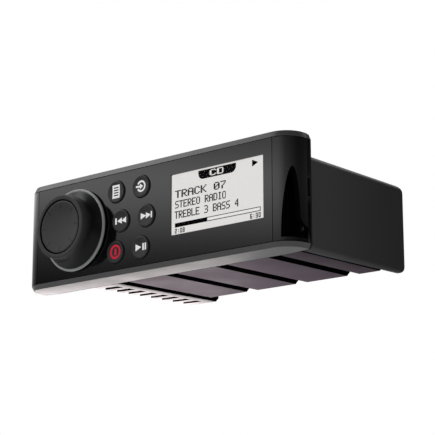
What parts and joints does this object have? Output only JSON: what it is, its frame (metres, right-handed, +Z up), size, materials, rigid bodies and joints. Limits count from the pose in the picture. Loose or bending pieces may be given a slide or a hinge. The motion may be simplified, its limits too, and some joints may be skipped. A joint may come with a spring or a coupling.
{
  "type": "marine stereo",
  "caption": "Panel-mounted boat stereo with a curved dark front, flared push knob, round keys and a wide display, and a finned box behind the panel",
  "frame": {"origin": "centre of the panel-mounting plane at the back of the gasket, in the middle of the four panel screws", "axes": "+X to the right of a person facing the front, +Y into the panel, +Z up"},
  "size_m": [0.1778, 0.1219, 0.0556],
  "materials": {
    "bezel_plastic": "satin moulded plastic",
    "face_plastic": "gloss dark panel",
    "gasket_foam": "closed-cell foam",
    "clear_lens": "clear hard-coated window",
    "lcd_layer": "pale display layer",
    "light_guide": "white diffuser",
    "inner_plastic": "black moulded",
    "circuit_board": "green solder mask",
    "screw_steel": "zinc plated",
    "key_plastic": "satin keys with printed marks",
    "silicone": "silicone mat",
    "encoder_metal": "machined",
    "knob_plastic": "gloss black",
    "knob_cap_plastic": "satin grey",
    "ring_metal": "satin plated",
    "case_plastic": "black moulded",
    "cast_metal": "cast, dull grey coat",
    "chip_epoxy": "black epoxy",
    "can_sleeve": "shrink sleeve",
    "copper_winding": "enamelled copper",
    "tin_plate": "tin plated can",
    "contact_brass": "plated contacts",
    "socket_plastic": "black moulded",
    "fuse_plastic": "coloured blade fuse"
  },
  "bodies": {
    "chassis": {"front_bezel": "bezel_plastic", "face_panel": "face_plastic", "end_cover_left": "bezel_plastic", "end_cover_right": "bezel_plastic", "panel_gasket": "gasket_foam", "display_lens": "clear_lens", "lcd_glass": "lcd_layer", "lcd_backlight": "light_guide", "lcd_holder": "inner_plastic", "control_board": "circuit_board", "board_screws": "screw_steel", "tact_switches": "inner_plastic", "keypad_mat": "silicone", "encoder_body": "encoder_metal", "encoder_bush": "encoder_metal", "encoder_washer": "screw_steel", "encoder_nut": "screw_steel", "case_shell": "case_plastic", "heat_sink": "cast_metal", "chassis_screws": "screw_steel", "floor_screws": "screw_steel", "main_board": "circuit_board", "board_standoffs": "contact_brass", "main_board_screws": "screw_steel", "board_link": "inner_plastic", "amplifier_chip": "chip_epoxy", "chip_clamp": "screw_steel", "clamp_screws": "screw_steel", "capacitors": "can_sleeve", "choke": "copper_winding", "tuner_module": "tin_plate", "board_chips": "chip_epoxy", "power_socket": "socket_plastic", "speaker_socket": "socket_plastic", "socket_pins": "contact_brass", "antenna_socket": "tin_plate", "line_out_sockets": "contact_brass", "fuse_holder": "socket_plastic", "fuse": "fuse_plastic"},
    "encoder_push": {"encoder_plunger": "encoder_metal"},
    "knob": {"encoder_shaft": "encoder_metal", "shaft_clip": "screw_steel", "knob_body": "knob_plastic", "knob_cap": "knob_cap_plastic", "knob_ring": "ring_metal"},
    "key_menu": {"button_menu": "key_plastic"},
    "key_source": {"button_source": "key_plastic"},
    "key_previous": {"button_previous": "key_plastic"},
    "key_next": {"button_next": "key_plastic"},
    "key_power": {"button_power": "key_plastic"},
    "key_play": {"button_play": "key_plastic"}
  },
  "joints": [
    {"name": "knob_push", "type": "slide", "parent": "chassis", "child": "encoder_push", "axis": [0, 1, 0], "range_m": [0, 0.0005], "stiffness_N_per_m": 1500, "springref_m": -0.001},
    {"name": "knob_turn", "type": "hinge", "parent": "encoder_push", "child": "knob", "pos_m": [-0.0492, -0.0158, -0.0006], "axis": [0, 1, 0], "continuous": true},
    {"name": "key_menu_press", "type": "slide", "parent": "chassis", "child": "key_menu", "axis": [0, 1, 0], "range_m": [0, 0.0007], "stiffness_N_per_m": 1200, "springref_m": -0.0008},
    {"name": "key_source_press", "type": "slide", "parent": "chassis", "child": "key_source", "axis": [0, 1, 0], "range_m": [0, 0.0007], "stiffness_N_per_m": 1200, "springref_m": -0.0008},
    {"name": "key_previous_press", "type": "slide", "parent": "chassis", "child": "key_previous", "axis": [0, 1, 0], "range_m": [0, 0.0007], "stiffness_N_per_m": 1200, "springref_m": -0.0008},
    {"name": "key_next_press", "type": "slide", "parent": "chassis", "child": "key_next", "axis": [0, 1, 0], "range_m": [0, 0.0007], "stiffness_N_per_m": 1200, "springref_m": -0.0008},
    {"name": "key_power_press", "type": "slide", "parent": "chassis", "child": "key_power", "axis": [0, 1, 0], "range_m": [0, 0.0007], "stiffness_N_per_m": 1200, "springref_m": -0.0008},
    {"name": "key_play_press", "type": "slide", "parent": "chassis", "child": "key_play", "axis": [0, 1, 0], "range_m": [0, 0.0007], "stiffness_N_per_m": 1200, "springref_m": -0.0008}
  ]
}
